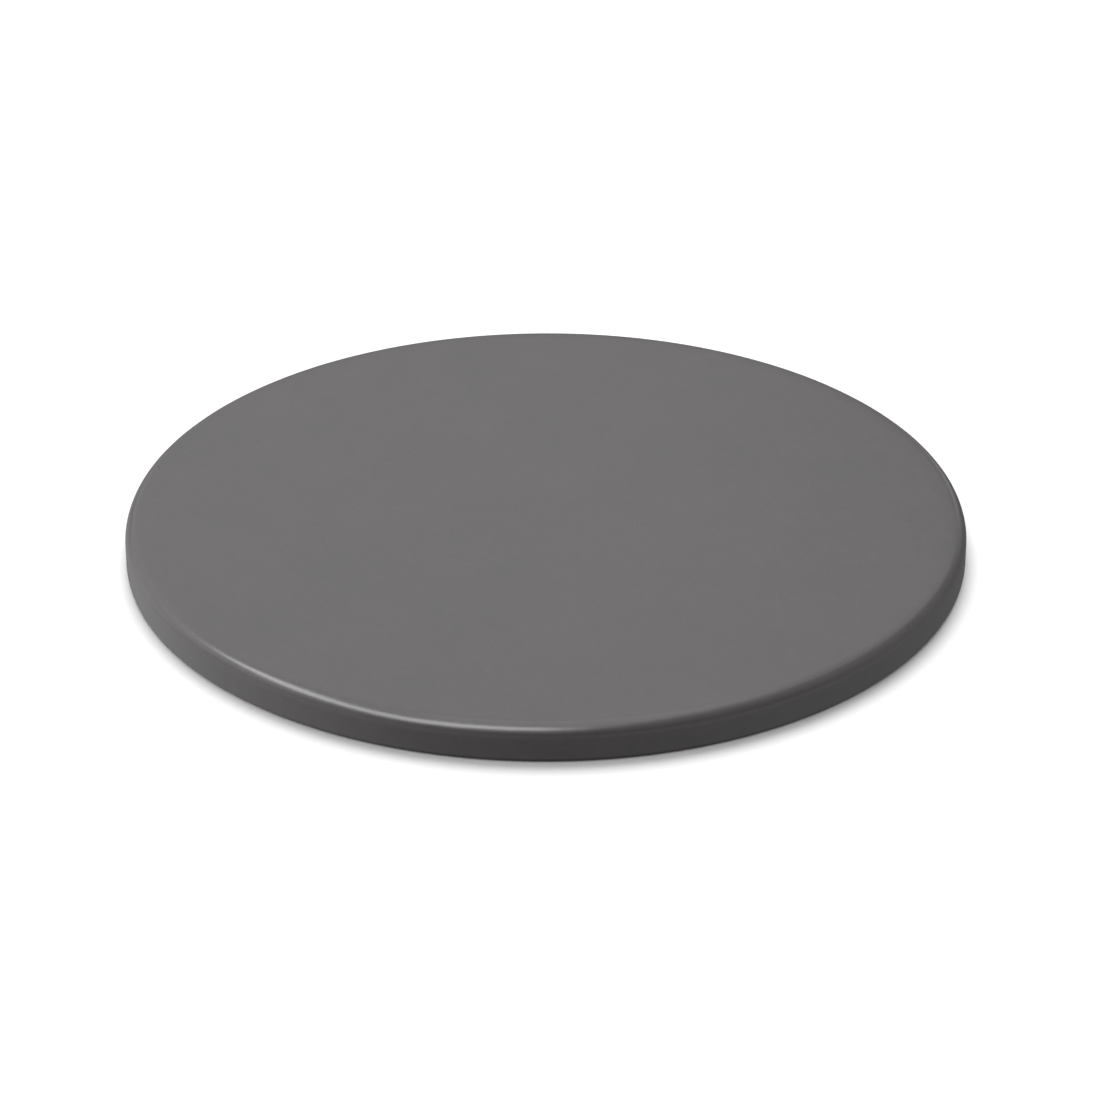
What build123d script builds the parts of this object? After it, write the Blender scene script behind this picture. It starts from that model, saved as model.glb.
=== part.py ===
"""Round glazed pizza stone: a pressed and fired cordierite slab under a coat of dark glaze.

The stone lies on its bare underside. The origin is the centre of that face, and +Z is up.
"""

from build123d import *

import math
import os

os.makedirs("parts", exist_ok=True)

# Driving sizes of the fired slab, in millimetres
slab_diameter = 359.2
slab_thickness = 16.0
rim_radius = 5.6  # the wide round between the cooking face and the wall
foot_radius = 2.0  # the small round between the wall and the underside

# Driving sizes of the glaze
glaze_thickness = 0.4
glaze_reach = 40.0  # degrees that the glaze runs on under the wall, round the foot edge

# Places on the slab's section, as distance from the axis and height
slab_radius = slab_diameter / 2
rim_centre = (slab_radius - rim_radius, slab_thickness - rim_radius)
foot_centre = (slab_radius - foot_radius, foot_radius)
quarter_turn = 90.0


def outside_line(cover, start):
    """Half the outline of the slab's section, at a distance outside it, for the open line being drawn.

    It runs from the foot edge, at that many degrees under the wall, up the wall, over the rim and in to the
    axis. Its two ends are returned.
    """
    foot = CenterArc(foot_centre, foot_radius + cover, -start, start)
    wall_top = (slab_radius + cover, rim_centre[1])
    Line(foot @ 1, wall_top)
    rim = CenterArc(rim_centre, rim_radius + cover, 0, quarter_turn)
    face = Line(rim @ 1, (0, slab_thickness + cover))
    return foot @ 0, face @ 1


# Fired slab: flat underside, foot edge, upright wall, wide rim, flat cooking side
with BuildPart() as stone_body:
    with BuildSketch(Plane.XZ):
        with BuildLine():
            foot_end, face_middle = outside_line(0, quarter_turn)
            Line(face_middle, (0, 0))
            Line((0, 0), foot_end)
        make_face()
    revolve(axis=Axis.Z)

# Glaze coat: the same outline at the slab's surface and at the glaze's own, closed by a rolled bead
bead_radius = glaze_thickness / 2
bead_angle = math.radians(glaze_reach)
bead_distance = foot_radius + bead_radius
bead_tip = (
    foot_centre[0] + bead_distance * math.cos(bead_angle) - bead_radius * math.sin(bead_angle),
    foot_centre[1] - bead_distance * math.sin(bead_angle) - bead_radius * math.cos(bead_angle),
)

with BuildPart() as glaze_coat:
    with BuildSketch(Plane.XZ):
        with BuildLine():
            inner_end, inner_middle = outside_line(0, glaze_reach)
            outer_end, outer_middle = outside_line(glaze_thickness, glaze_reach)
            Line(inner_middle, outer_middle)
            ThreePointArc(outer_end, bead_tip, inner_end)
        make_face()
    revolve(axis=Axis.Z)

stone_body.part.label = "stone_body"
glaze_coat.part.label = "glaze_coat"
export_step(stone_body.part, "parts/stone_body.step")
export_step(glaze_coat.part, "parts/glaze_coat.step")
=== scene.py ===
"""Looks of the round glazed pizza stone: a bare fired slab and its coat of dark satin glaze.

Every length is in metres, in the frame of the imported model: the stone lies on its underside at height zero, with
its axis on +Z.
"""

import math

import bpy
import numpy as np
from mathutils import Matrix, Vector


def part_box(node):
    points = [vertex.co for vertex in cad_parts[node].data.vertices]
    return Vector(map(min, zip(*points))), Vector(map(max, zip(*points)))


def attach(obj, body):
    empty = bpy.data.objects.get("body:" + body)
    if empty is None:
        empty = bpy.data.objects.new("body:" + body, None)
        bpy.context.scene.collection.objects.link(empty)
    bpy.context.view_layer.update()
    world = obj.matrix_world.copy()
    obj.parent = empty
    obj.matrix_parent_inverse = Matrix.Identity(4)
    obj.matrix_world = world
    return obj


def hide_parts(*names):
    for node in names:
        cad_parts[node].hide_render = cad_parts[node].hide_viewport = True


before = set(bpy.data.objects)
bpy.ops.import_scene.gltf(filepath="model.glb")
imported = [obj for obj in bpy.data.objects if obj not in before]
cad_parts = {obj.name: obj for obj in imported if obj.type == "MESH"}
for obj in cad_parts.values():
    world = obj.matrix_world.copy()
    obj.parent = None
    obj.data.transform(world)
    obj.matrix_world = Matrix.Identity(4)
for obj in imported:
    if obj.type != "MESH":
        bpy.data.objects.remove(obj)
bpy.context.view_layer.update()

MM = 0.001

# Sizes read from the frame
_, slab_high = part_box("stone_body")
_, coat_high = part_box("glaze_coat")
SLAB_RADIUS, SLAB_TOP = slab_high.x, slab_high.z
COAT_RADIUS, COAT_TOP = coat_high.x, coat_high.z
DIAMETER = 2 * COAT_RADIUS
GLAZE = COAT_TOP - SLAB_TOP

# Rounds of the slab itself, their centres as (radius, height), and how far the glaze runs on under the wall
SLAB_RIM = 5.6 * MM
SLAB_FOOT = 2.0 * MM
RIM_CENTRE = (SLAB_RADIUS - SLAB_RIM, SLAB_TOP - SLAB_RIM)
FOOT_CENTRE = (SLAB_RADIUS - SLAB_FOOT, SLAB_FOOT)
GLAZE_REACH = math.radians(40)

# How far pressing and firing leave the faces uneven, and the waves that they are uneven in
GLAZE_UNEVEN = 0.05 * MM
CLAY_UNEVEN = 0.08 * MM
WAVES = 7
SHORTEST_WAVE, LONGEST_WAVE = 25 * MM, 90 * MM
WAVE_SEED = 7

# Fineness of the meshes
TURNS = 640
FACE_STEP = 6.0 * MM
WALL_STEP = 1.0 * MM
RIM_STEPS = 14
FOOT_STEPS = 7
BEAD_STEPS = 6


# Shapes

def arc(centre, radius, first, last, steps):
    """Points of a round edge: centre + radius (cos t, sin t), for t in even steps from first to last."""
    t = np.linspace(first, last, steps + 1)
    return np.stack([centre[0] + radius * np.cos(t), centre[1] + radius * np.sin(t)], axis=1)


def run(start, end, step):
    """Points of a straight stretch, start + (end - start) s, for s in even steps of about that length."""
    start, end = np.array(start), np.array(end)
    steps = max(1, round(float(np.linalg.norm(end - start)) / step))
    return start + (end - start) * np.linspace(0, 1, steps + 1)[:, None]


def joined(*stretches):
    """One line of (radius, height) points from stretches that meet end to end."""
    rest = [s[1:] for s in stretches[1:]]
    return np.concatenate([stretches[0], *rest])


def skin_line(cover):
    """The slab's outline at a distance outside it, from the axis out over the rim and down to the glaze's end."""
    top, side = SLAB_TOP + cover, SLAB_RADIUS + cover
    return joined(
        run((0, top), (RIM_CENTRE[0], top), FACE_STEP),
        arc(RIM_CENTRE, SLAB_RIM + cover, math.pi / 2, 0, RIM_STEPS),
        run((side, RIM_CENTRE[1]), (side, FOOT_CENTRE[1]), WALL_STEP),
        arc(FOOT_CENTRE, SLAB_FOOT + cover, 0, -GLAZE_REACH, FOOT_STEPS),
    )


def slow_waves(points):
    """A smooth unevenness over space, from 0 to 1: the sum of plane waves sin(k . p + c), stretched to fit.

    The directions and phases are drawn once, from a fixed seed.
    """
    draw = np.random.default_rng(WAVE_SEED)
    aim = draw.normal(size=(WAVES, 3))
    aim /= np.linalg.norm(aim, axis=1, keepdims=True)
    lengths = np.linspace(SHORTEST_WAVE, LONGEST_WAVE, WAVES)
    phase = draw.uniform(0, 2 * math.pi, WAVES)
    total = np.sin(points @ (aim * 2 * math.pi / lengths[:, None]).T + phase).sum(axis=1)
    return (total - total.min()) / (total.max() - total.min())


def turned(name, line, give):
    """A closed shell of revolution: point (i, j) is the line's point j turned i steps about the stone's axis.

    x = r_j sin a_i, y = -r_j cos a_i and z = h_j, with a_i = 2 pi i / TURNS. The line starts and ends on the axis,
    and each end is one vertex. Each point then sinks along its inward normal by give_j times the slow waves there.
    """
    a = np.linspace(0, 2 * math.pi, TURNS, endpoint=False)[:, None]
    across, up = np.gradient(line[:, 0]), np.gradient(line[:, 1])
    length = np.hypot(across, up)
    out, rise = -up / length, across / length

    def spread(radial, height):
        """The line's (radial, height) values as vectors all round, then those of its two ends."""
        rings = [radial[1:-1] * np.sin(a), -radial[1:-1] * np.cos(a), height[1:-1] + 0 * a]
        ends = [[0, 0, height[0]], [0, 0, height[-1]]]
        return np.concatenate([np.stack(rings, axis=2).reshape(-1, 3), ends])

    points, normals = spread(line[:, 0], line[:, 1]), spread(out, rise)
    sink = np.concatenate([np.tile(give[1:-1], TURNS), give[[0, -1]]])
    points -= normals * (sink * slow_waves(points))[:, None]

    width = len(line) - 2
    i = np.arange(TURNS)
    here, beyond = i * width, (i + 1) % TURNS * width
    j = np.arange(width - 1)
    a0, a1 = here[:, None] + j, here[:, None] + j + 1
    b0, b1 = beyond[:, None] + j, beyond[:, None] + j + 1
    quads = np.stack([a0, a1, b1, b0], axis=2).reshape(-1, 4)
    first, last = np.full(TURNS, len(points) - 2), np.full(TURNS, len(points) - 1)
    tops = np.stack([first, here, beyond], axis=1)
    bottoms = np.stack([last, beyond + width - 1, here + width - 1], axis=1)

    mesh = bpy.data.meshes.new(name)
    mesh.from_pydata(points.tolist(), [], [*tops.tolist(), *quads.tolist(), *bottoms.tolist()])
    mesh.polygons.foreach_set("use_smooth", np.ones(len(mesh.polygons), bool))
    mesh.update()
    piece = bpy.data.objects.new(name, mesh)
    bpy.context.scene.collection.objects.link(piece)
    return piece


def glaze_shell():
    """The glaze: its own face out and down to the bead, and back along the slab's surface to the axis.

    Its face is uneven as far as the foot edge, and evens out from there to the bead.
    """
    outside, inside = skin_line(GLAZE), skin_line(0)
    middle = (outside[-1] + inside[-1]) / 2
    bead = arc(middle, GLAZE / 2, -GLAZE_REACH, -GLAZE_REACH - math.pi, BEAD_STEPS)
    line = joined(outside, bead, inside[::-1])
    steps_to_bead = np.arange(len(outside))[::-1]
    give = np.zeros(len(line))
    give[:len(outside)] = GLAZE_UNEVEN * np.minimum(1, steps_to_bead / FOOT_STEPS)
    return turned("glaze", line, give)


def slab_shell():
    """The slab: its outline under the glaze, then its bare foot edge and its underside in to the axis.

    Only the underside is uneven, and it evens out over its outermost step.
    """
    bare_foot = arc(FOOT_CENTRE, SLAB_FOOT, -GLAZE_REACH, -math.pi / 2, FOOT_STEPS)
    underside = run((FOOT_CENTRE[0], 0), (0, 0), FACE_STEP)
    line = joined(skin_line(0), bare_foot, underside)
    give = np.zeros(len(line))
    give[2 - len(underside):] = CLAY_UNEVEN
    return turned("slab", line, give)


# Finishes

class Wire:
    """One socket's value in a recipe. Sums, products and comparisons of wires and numbers add Math nodes."""

    def __init__(self, recipe, socket):
        self.recipe, self.socket = recipe, socket

    def maths(self, operation, *values):
        return self.recipe.node("Math", {"operation": operation}, dict(enumerate(values)))

    def __add__(self, other):
        return self.maths("ADD", self, other)

    def __sub__(self, other):
        return self.maths("SUBTRACT", self, other)

    def __rsub__(self, other):
        return self.maths("SUBTRACT", other, self)

    def __mul__(self, other):
        return self.maths("MULTIPLY", self, other)

    def __gt__(self, other):
        return self.maths("GREATER_THAN", self, other)

    def __lt__(self, other):
        return self.maths("LESS_THAN", self, other)

    __radd__, __rmul__ = __add__, __mul__


class Recipe:
    """The node tree of one finish, with its pattern makers. Sizes and places are in metres on the piece."""

    def __init__(self, tree):
        self.tree = tree

    def node(self, kind, settings, sockets, output=0):
        """Add a node of that type, set it up, fill or link its sockets, and give back one of its outputs."""
        node = self.tree.nodes.new("ShaderNode" + kind)
        for name, value in settings.items():
            setattr(node, name, value)
        self.fill(node, sockets)
        return Wire(self, node.outputs[output])

    def fill(self, node, sockets):
        """Give each of a node's sockets its value, or link it to a wire."""
        for name, value in sockets.items():
            if isinstance(value, Wire):
                self.tree.links.new(value.socket, node.inputs[name])
            else:
                node.inputs[name].default_value = value

    def place(self):
        """The place on the piece."""
        return self.node("TexCoord", {}, {}, "Object")

    def cloud(self, size, detail=2.0):
        """Soft noise about one half, with lumps of about that size."""
        return self.node("TexNoise", {}, {"Vector": self.place(), "Scale": 1 / size, "Detail": detail})

    def dots(self, spacing, size, share):
        """Round dots, 1 inside and 0 outside: at most one for each cell of that spacing, and a share of them kept."""
        sockets = {"Vector": self.place(), "Scale": 1 / spacing}
        away = self.node("TexVoronoi", {}, sockets, "Distance")
        draw = self.node("SeparateColor", {}, {0: self.node("TexVoronoi", {}, sockets, "Color")})
        return self.ease(away, size / spacing / 2, size / spacing / 4) * (draw < share)

    def edge_band(self, inner, outer, stray, lumps):
        """A band round the slab's edge, rising smoothly outwards from 0 to 1 between two depths in from the edge.

        It strays in and out by up to half of that length, in lumps of that size.
        """
        flat = self.node("VectorMath", {"operation": "MULTIPLY"}, {0: self.place(), 1: (1, 1, 0)})
        radius = self.node("VectorMath", {"operation": "LENGTH"}, {0: flat}, "Value")
        return self.ease(radius + (self.cloud(lumps) - 0.5) * stray, SLAB_RADIUS - inner, SLAB_RADIUS - outer)

    def ease(self, value, start, end):
        """Run smoothly from 0, where the value is at start, to 1 at end."""
        sockets = {"Value": value, "From Min": start, "From Max": end}
        return self.node("MapRange", {"interpolation_type": "SMOOTHSTEP"}, sockets)

    def blend(self, share, first, second):
        """A colour between two, by the share of the second."""
        return self.node("Mix", {"data_type": "RGBA"}, {0: share, 6: first, 7: second}, 2)

    def bump(self, height):
        """A normal from a height in metres."""
        return self.node("Bump", {}, {"Height": height, "Strength": 1.0, "Distance": 1.0}, "Normal")


def finish(name, paint):
    """A new material: paint(recipe) says what goes into the shader's sockets."""
    material = bpy.data.materials.new(name)
    material.use_nodes = True
    recipe = Recipe(material.node_tree)
    recipe.fill(material.node_tree.nodes["Principled BSDF"], paint(recipe))
    return material


# Colours, in linear light
GLAZE_DARK = (0.023, 0.0213, 0.0216, 1)
GLAZE_PALE = (0.032, 0.0286, 0.0294, 1)
GLAZE_FLECK = (0.06, 0.055, 0.055, 1)
# painted contact shade for the bare foot edge, where the stone meets the floor
FOOT_PAINTED_SHADE = (0.03, 0.025, 0.022, 1)
CLAY_DARK = (0.43, 0.335, 0.235, 1)
CLAY_PALE = (0.64, 0.535, 0.41, 1)
CLAY_TOASTED = (0.36, 0.215, 0.115, 1)
GROG = (0.74, 0.67, 0.56, 1)
IRON = (0.1, 0.05, 0.03, 1)
# painted shade inside the pores, which the bump also sinks
PORE_PAINTED_SHADE = (0.2, 0.14, 0.09, 1)


def satin_glaze(recipe):
    """Charcoal glaze with a satin gloss: faint clouds, fine flecks, a few pinholes, and a slight orange peel."""
    contrast, fleck_strength = 0.8, 0.5
    roughness, rougher_in_clouds, rougher_in_pinholes = 0.25, 0.05, 0.12
    fine_depth, broad_depth, pinhole_depth = 0.008 * MM, 0.06 * MM, 0.02 * MM

    cloudy = recipe.cloud(30 * MM) + recipe.cloud(5 * MM, detail=3.0) - 1
    flecks = recipe.dots(spacing=1.7 * MM, size=0.55 * MM, share=0.5)
    pinholes = recipe.dots(spacing=8 * MM, size=0.5 * MM, share=0.5)
    peel = recipe.cloud(1.4 * MM, detail=1.0) * fine_depth + recipe.cloud(7 * MM, detail=1.0) * broad_depth
    even = recipe.blend(0.5 + contrast * cloudy, GLAZE_DARK, GLAZE_PALE)
    return {
        "Base Color": recipe.blend(flecks * fleck_strength, even, GLAZE_FLECK),
        "Roughness": roughness + rougher_in_clouds * cloudy + rougher_in_pinholes * pinholes,
        "Normal": recipe.bump(peel - pinholes * pinhole_depth),
        "IOR": 1.5,
    }


def fired_clay(recipe):
    """Bare buff clay: sandy grain, pale grog, iron specks, open pores darkened with painted shade, and a toasted ring
    beside the glaze.

    The foot edge, which lies just outside the flat underside, is darkened with painted contact shade where the stone
    meets the floor.
    """
    contrast = 1.6
    roughness, rougher_in_mottle = 0.86, 0.1
    grain_depth, grog_height, pore_depth = 0.3 * MM, 0.04 * MM, 0.15 * MM

    toasted = recipe.edge_band(16 * MM, 3 * MM, stray=10 * MM, lumps=14 * MM)
    # painted contact shade: a dark band along the foot edge
    painted_foot_shade = recipe.edge_band(2.4 * MM, 1.6 * MM, stray=0.8 * MM, lumps=3 * MM)
    sand = recipe.cloud(1.1 * MM, detail=3.0)
    mottle = 0.5 + contrast * (recipe.cloud(24 * MM, detail=4.0) + sand - 1)
    grog = recipe.dots(spacing=1.9 * MM, size=1.3 * MM, share=0.45)
    iron = recipe.dots(spacing=2.6 * MM, size=1.0 * MM, share=0.25)
    pores = recipe.dots(spacing=1.3 * MM, size=0.7 * MM, share=0.5)

    body = recipe.blend(mottle, CLAY_DARK, CLAY_PALE)
    for mask, strength, colour in (
        (toasted, 0.7, CLAY_TOASTED),
        (grog, 0.6, GROG),
        (iron, 0.8, IRON),
        # painted shade: pores darkened as hollows
        (pores, 0.6, PORE_PAINTED_SHADE),
    ):
        body = recipe.blend(mask * strength, body, colour)
    return {
        "Base Color": recipe.blend(painted_foot_shade, body, FOOT_PAINTED_SHADE),
        "Roughness": roughness + rougher_in_mottle * (mottle - 0.5),
        "Normal": recipe.bump(sand * grain_depth + grog * grog_height - pores * pore_depth),
    }


glaze = glaze_shell()
slab = slab_shell()
glaze.data.materials.append(finish("satin_glaze", satin_glaze))
slab.data.materials.append(finish("fired_clay", fired_clay))
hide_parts("glaze_coat")
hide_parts("stone_body")
for piece in (glaze, slab):
    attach(piece, "root")


# Studio

FLOOR_WHITE = (0.78, 0.78, 0.78, 1)
FLOOR_REACH = 15.0
SOFTBOX_DISTANCE = 15.0
LAMP_DISTANCE = 3.0
WALL_WHITE = (1, 1, 1, 1)
WALL_SEEN = 1.1  # brightness of the walls as the camera sees them


def white_floor(recipe):
    """Plain matt white."""
    return {"Base Color": FLOOR_WHITE, "Roughness": 1.0, "Specular IOR Level": 0.0}


def floor():
    """A white floor. The stone itself sees the walls of the studio in its place."""
    corners = [(x * FLOOR_REACH, y * FLOOR_REACH, 0) for x, y in ((-1, -1), (1, -1), (1, 1), (-1, 1))]
    mesh = bpy.data.meshes.new("floor")
    mesh.from_pydata(corners, [], [(0, 1, 2, 3)])
    mesh.materials.append(finish("floor", white_floor))
    obj = bpy.data.objects.new("floor", mesh)
    bpy.context.scene.collection.objects.link(obj)
    obj.visible_diffuse = obj.visible_glossy = obj.visible_shadow = False
    return obj


def towards(azimuth, elevation):
    """The direction of a lamp. The azimuth is clockwise from the back, seen from above; both are in degrees."""
    a, e = math.radians(azimuth), math.radians(elevation)
    return Vector((math.sin(a) * math.cos(e), math.cos(a) * math.cos(e), math.sin(e)))


def hang(name, light, direction, distance, roll, lit):
    """Put a light in the studio, facing the middle of the stone, so that it lights only the objects named."""
    obj = bpy.data.objects.new(name, light)
    obj.matrix_world = (
        Matrix.Translation(direction * distance)
        @ direction.to_track_quat("Z", "Y").to_matrix().to_4x4()
        @ Matrix.Rotation(-math.radians(roll), 4, "Z")
    )
    obj.visible_camera = False
    group = bpy.data.collections.new(name + "_lights")
    for piece in lit:
        group.objects.link(piece)
    obj.light_linking.receiver_collection = group
    bpy.context.scene.collection.objects.link(obj)


def softbox(name, azimuth, elevation, roll, width, height, radiance):
    """A rectangular softbox for the stone, square to it and far enough off to light the whole of it alike.

    The angles are in degrees. The width and the height are shares of its distance.
    """
    light = bpy.data.lights.new(name, "AREA")
    light.shape = "RECTANGLE"
    light.size, light.size_y = width * SOFTBOX_DISTANCE, height * SOFTBOX_DISTANCE
    light.energy = radiance * math.pi * light.size * light.size_y
    hang(name, light, towards(azimuth, elevation), SOFTBOX_DISTANCE, roll, (glaze, slab))


def floor_lamp(azimuth, elevation, spread, brightness):
    """One soft lamp for the floor, high at the back, which gives the stone its short shadow in front."""
    light = bpy.data.lights.new("floor_lamp", "SUN")
    light.angle = math.radians(spread)
    light.energy = brightness * math.pi / math.sin(math.radians(elevation))
    hang("floor_lamp", light, towards(azimuth, elevation), LAMP_DISTANCE, 0, (ground,))


def walls(right, left, back, front, ceiling, under, glows):
    """The studio's walls, each of its own brightness: the sum of each one's times the squared share of it faced.

    The glows, brightness by azimuth, stand for the floor's own light. They add up in the same way, but only below
    the horizon. The camera sees the walls white.
    """
    world = bpy.data.worlds.new("studio")
    bpy.context.scene.world = world
    world.use_nodes = True
    recipe = Recipe(world.node_tree)
    direction = recipe.node("TexCoord", {}, {}, "Generated")
    x, y, z = (recipe.node("SeparateXYZ", {}, {0: direction}, axis) for axis in "XYZ")
    seen = 0
    for part, high, low in ((x, right, left), (y, back, front), (z, ceiling, under)):
        seen = part * part * (low + (high - low) * (part > 0)) + seen
    for azimuth, brightness in glows.items():
        faced = x * math.sin(math.radians(azimuth)) + y * math.cos(math.radians(azimuth))
        seen = faced * faced * (faced > 0) * (z < 0) * brightness + seen
    straight = recipe.node("LightPath", {}, {}, "Is Camera Ray")
    strength = seen + straight * (WALL_SEEN - seen)
    recipe.fill(world.node_tree.nodes["Background"], {"Color": WALL_WHITE, "Strength": strength})


ground = floor()
for box in (
    # name, azimuth, elevation, roll, width, height, radiance
    ("front_left", 209.6, 49.1, -33, 0.793, 0.437, 6.8),
    ("left", 266.1, 47.9, 3.7, 0.693, 0.31, 7.3),
    ("ceiling", -48.3, 58.8, 43.5, 3.38, 2.36, 0.645),
    ("strip", 185.7, 73.2, 8.5, 0.75, 2.17, 1.03),
    ("back_left", -43.5, 47.4, 101.2, 0.823, 1.71, 0.43),
    ("right", 61.6, 37.1, -4.4, 1.68, 1.33, 0.18),
    ("back", 0, 10, 0, 1.0, 0.3, 0.46),
    ("back_right", 28, 12, 0, 0.4, 0.4, 0.21),
):
    softbox(*box)
floor_lamp(azimuth=-5.2, elevation=57.3, spread=42.5, brightness=0.832)
walls(
    right=0.53, left=1.21, back=0.1, front=0.13, ceiling=0.95, under=0.12,
    glows={90: 0.1, 135: 0.41, 180: 0.08, 225: 0.27, 315: 0.28},
)
bpy.context.scene.view_settings.view_transform = "Standard"


# Camera, at the photograph's viewing angle

VIEW_ELEVATION = math.radians(28.54)
VIEW_ROLL = math.radians(0.062)
VIEW_DISTANCE = 5.1 * DIAMETER
AIM_RIGHT = 0.0049 * DIAMETER
AIM_UP = -0.0067 * DIAMETER
PHOTO_WIDTH = 1100
STONE_WIDTH_IN_PHOTO = 835.85  # pixels that the stone's diameter would take, seen square on
SENSOR_WIDTH = 36
NEAREST, FARTHEST = 0.1, 100


def camera():
    """A long lens whose axis passes a little right of and below the middle of the underside."""
    back = Vector((0, -math.cos(VIEW_ELEVATION), math.sin(VIEW_ELEVATION)))
    right = Vector((1, 0, 0))
    up = back.cross(right)
    place = back * VIEW_DISTANCE
    aim = right * AIM_RIGHT + up * AIM_UP
    data = bpy.data.cameras.new("camera")
    data.sensor_width = SENSOR_WIDTH
    data.lens = SENSOR_WIDTH * STONE_WIDTH_IN_PHOTO * VIEW_DISTANCE / DIAMETER / PHOTO_WIDTH
    data.clip_start, data.clip_end = NEAREST, FARTHEST
    obj = bpy.data.objects.new("camera", data)
    obj.matrix_world = (
        Matrix.Translation(place)
        @ (place - aim).to_track_quat("Z", "Y").to_matrix().to_4x4()
        @ Matrix.Rotation(-VIEW_ROLL, 4, "Z")
    )
    bpy.context.scene.collection.objects.link(obj)
    bpy.context.scene.camera = obj


camera()
